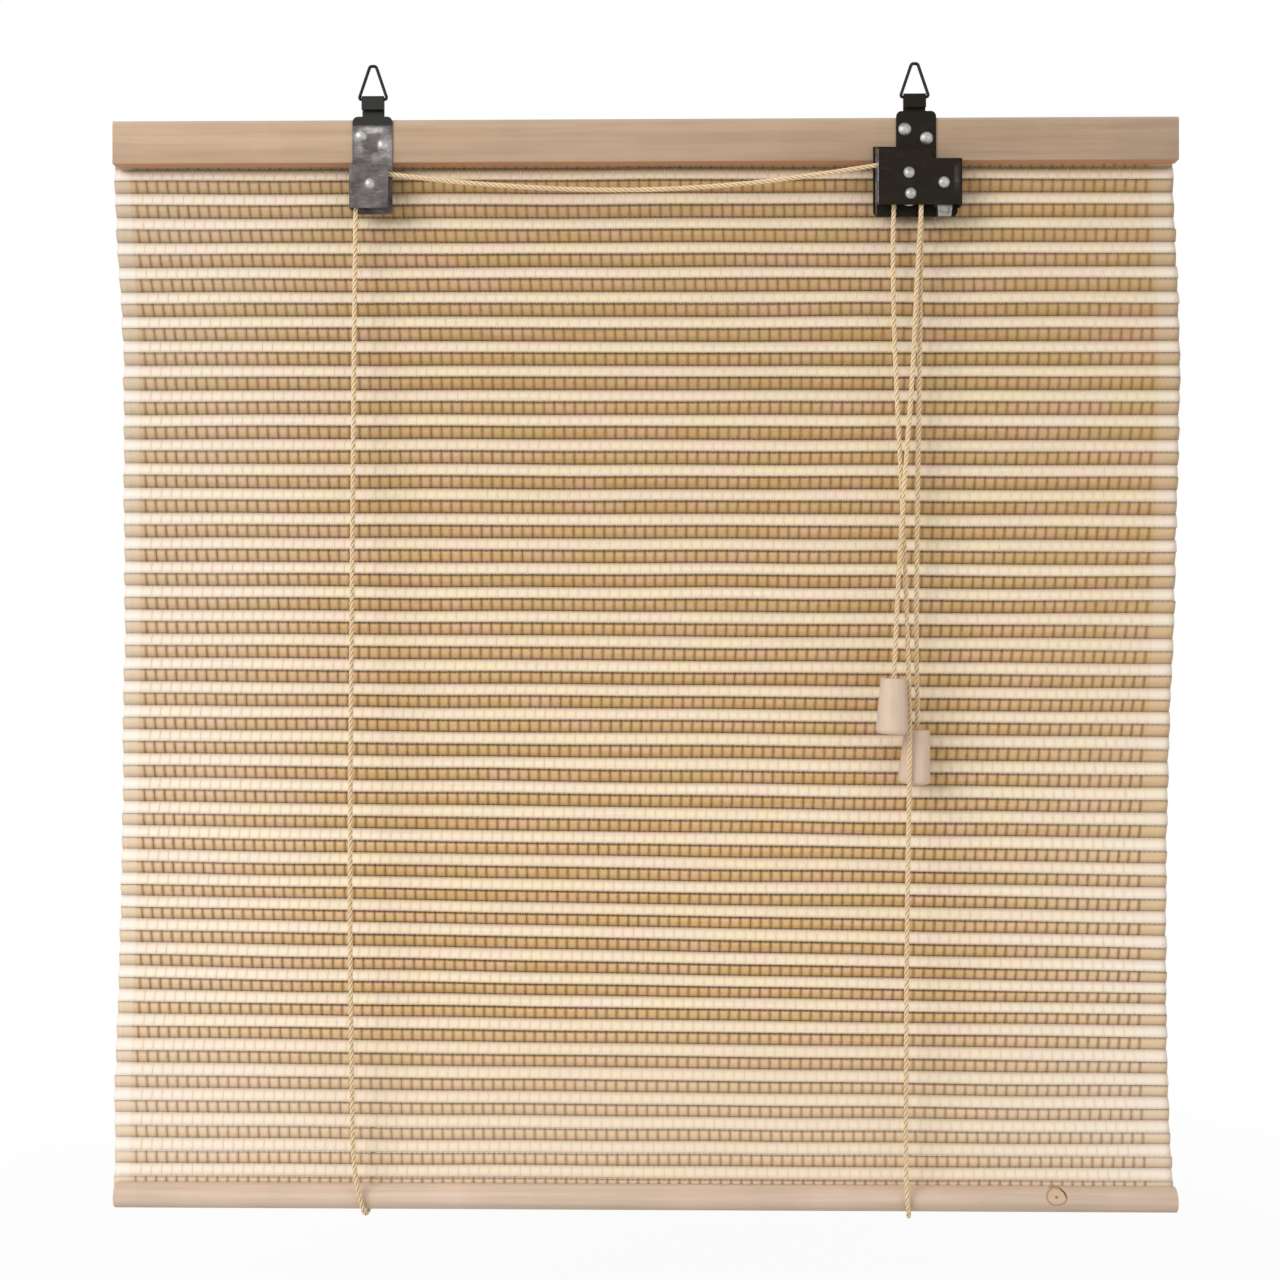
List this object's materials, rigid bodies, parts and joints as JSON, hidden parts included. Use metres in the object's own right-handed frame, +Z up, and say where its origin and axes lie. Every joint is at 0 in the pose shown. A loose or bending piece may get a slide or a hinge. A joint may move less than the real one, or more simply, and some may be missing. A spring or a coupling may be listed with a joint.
{
  "type": "bamboo roll up blind",
  "caption": "Woven bamboo slat roll up blind, let down, with a wooden header and half round rail, steel brackets, cord lock, cords and turned pulls.",
  "frame": {"origin": "middle of the header board's top face", "axes": "+X along the header to the right as seen from the front, +Y from the front to the back, +Z up"},
  "size_m": [0.6, 0.0488, 0.6497],
  "materials": {
    "pine_board": "matte sanded softwood",
    "pine_rail": "matte sanded softwood",
    "turned_wood": "matte turned wood",
    "bamboo_slats": "matte split bamboo, woven",
    "bright_steel": "bright zinc",
    "black_paint": "dark stove paint, worn",
    "ring_wire": "dark plated wire",
    "pulley_steel": "pale plated steel",
    "cam_steel": "dull pressed steel",
    "cord_fibre": "twisted cotton cord"
  },
  "bodies": {
    "root": {"header_rail": "pine_board", "slat_mat": "bamboo_slats", "bottom_rail": "pine_rail", "header_staples": "bright_steel", "rail_staples": "bright_steel", "left_cord_staple": "bright_steel", "right_cord_staple": "bright_steel", "left_bracket": "black_paint", "right_bracket": "black_paint", "left_pulley_rivet": "bright_steel", "upper_roller_rivet": "bright_steel", "lower_roller_rivet": "bright_steel", "lock_cam_rivet": "bright_steel", "left_nail_upper": "bright_steel", "left_nail_lower": "bright_steel", "right_nail_upper": "bright_steel", "right_nail_lower": "bright_steel", "left_cord": "cord_fibre", "right_cord": "cord_fibre", "left_pull_knot": "cord_fibre", "right_pull_knot": "cord_fibre", "left_pull": "turned_wood", "right_pull": "turned_wood"},
    "left_ring": {"left_hanging_ring": "ring_wire"},
    "right_ring": {"right_hanging_ring": "ring_wire"},
    "left_wheel": {"left_pulley": "pulley_steel"},
    "upper_wheel": {"upper_roller": "pulley_steel"},
    "lower_wheel": {"lower_roller": "pulley_steel"},
    "cam": {"lock_cam": "cam_steel"}
  },
  "joints": [
    {"name": "left_ring_swing", "type": "hinge", "parent": "root", "child": "left_ring", "pos_m": [-0.152, -0.0067, 0.0105], "axis": [1, 0, 0], "range_deg": [-95, 95]},
    {"name": "right_ring_swing", "type": "hinge", "parent": "root", "child": "right_ring", "pos_m": [0.152, -0.0067, 0.0105], "axis": [1, 0, 0], "range_deg": [-95, 95]},
    {"name": "left_pulley_turn", "type": "hinge", "parent": "root", "child": "left_wheel", "pos_m": [-0.1529, -0.00925, -0.0385], "axis": [0, 1, 0], "continuous": true},
    {"name": "upper_roller_turn", "type": "hinge", "parent": "root", "child": "upper_wheel", "pos_m": [0.1481, -0.00925, -0.0334], "axis": [0, 1, 0], "continuous": true},
    {"name": "lower_roller_turn", "type": "hinge", "parent": "root", "child": "lower_wheel", "pos_m": [0.149, -0.00925, -0.045], "axis": [0, 1, 0], "continuous": true},
    {"name": "lock_cam_swing", "type": "hinge", "parent": "root", "child": "cam", "pos_m": [0.1675, -0.00925, -0.0389], "axis": [0, 1, 0], "range_deg": [-17, 23]}
  ]
}
